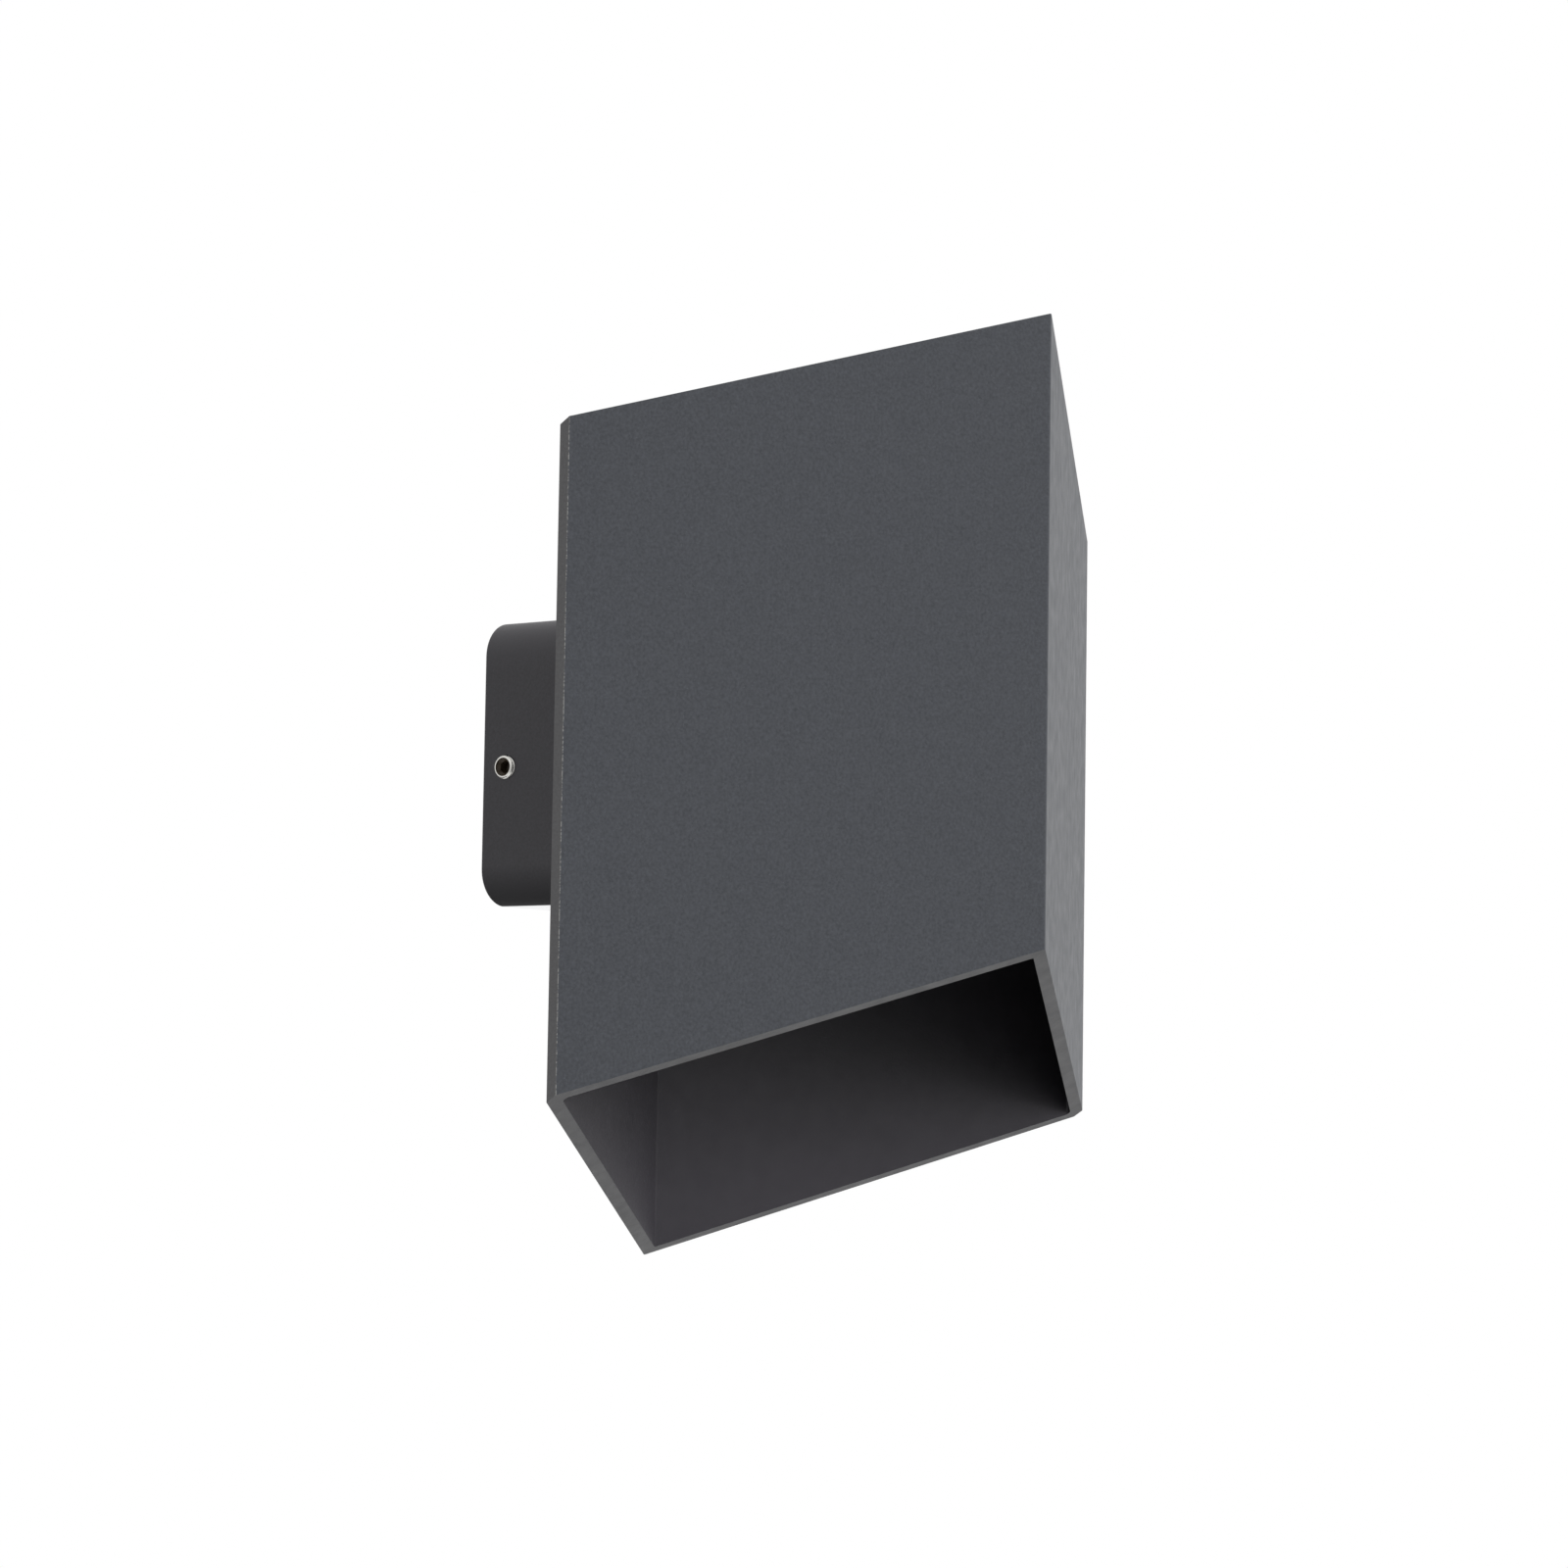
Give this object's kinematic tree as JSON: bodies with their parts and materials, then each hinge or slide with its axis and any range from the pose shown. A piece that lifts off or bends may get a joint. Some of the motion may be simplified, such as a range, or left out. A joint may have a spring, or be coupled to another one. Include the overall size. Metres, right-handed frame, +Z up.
{
  "type": "up and down wall light",
  "caption": "Outdoor up and down wall light: diamond-section tube with slanted open ends on a small mount box that slides over a wall bracket.",
  "frame": {"origin": "on the wall, midway between the two fixing slots of the bracket", "axes": "+Z up, +Y into the wall, +X to the right seen from the room"},
  "size_m": [0.1468, 0.0929, 0.1498],
  "materials": {
    "dark_coat": "fine-textured matte powder coat, anthracite",
    "black_casting": "matte black casting",
    "black_frame": "matte black sheet",
    "stainless": "bright turned stainless steel",
    "zinc_steel": "zinc-plated sheet steel",
    "bright_reflector": "vacuum-metallised satin",
    "board_white": "white solder mask on an aluminium board",
    "phosphor": "silicone with yellow phosphor",
    "driver_case": "black moulded case",
    "block_plastic": "natural nylon",
    "clamp_brass": "plain brass",
    "seal_rubber": "black rubber",
    "gasket_silicone": "grey silicone",
    "clear_glass": "toughened clear glass"
  },
  "bodies": {
    "wall_side": {"wall_bracket": "zinc_steel", "wall_seal": "seal_rubber", "cable_grommet": "seal_rubber", "earth_washer": "zinc_steel", "earth_screw": "zinc_steel", "terminal_block": "block_plastic", "terminal_clamps": "clamp_brass", "terminal_screws": "zinc_steel"},
    "lamp": {"diamond_tube": "dark_coat", "mount_cover": "dark_coat", "tie_screws": "zinc_steel", "lead_bush": "seal_rubber", "lamp_carrier": "black_casting", "led_board_upper": "board_white", "led_chip_upper": "phosphor", "board_screws_upper": "zinc_steel", "reflector_upper": "bright_reflector", "glass_gasket_upper": "gasket_silicone", "window_glass_upper": "clear_glass", "glass_frame_upper": "black_frame", "frame_screws_upper": "stainless", "led_board_lower": "board_white", "led_chip_lower": "phosphor", "board_screws_lower": "zinc_steel", "reflector_lower": "bright_reflector", "glass_gasket_lower": "gasket_silicone", "window_glass_lower": "clear_glass", "glass_frame_lower": "black_frame", "frame_screws_lower": "stainless", "led_driver": "driver_case"},
    "left_grub": {"grub_screw_left": "stainless"},
    "right_grub": {"grub_screw_right": "stainless"}
  },
  "joints": [
    {"name": "lamp_lift_off", "type": "slide", "parent": "wall_side", "child": "lamp", "axis": [0, -1, 0], "range_m": [0, 0.03]},
    {"name": "left_grub_travel", "type": "slide", "parent": "lamp", "child": "left_grub", "axis": [-1, 0, 0], "range_m": [0, 0.004]},
    {"name": "right_grub_travel", "type": "slide", "parent": "lamp", "child": "right_grub", "axis": [1, 0, 0], "range_m": [0, 0.004]}
  ]
}
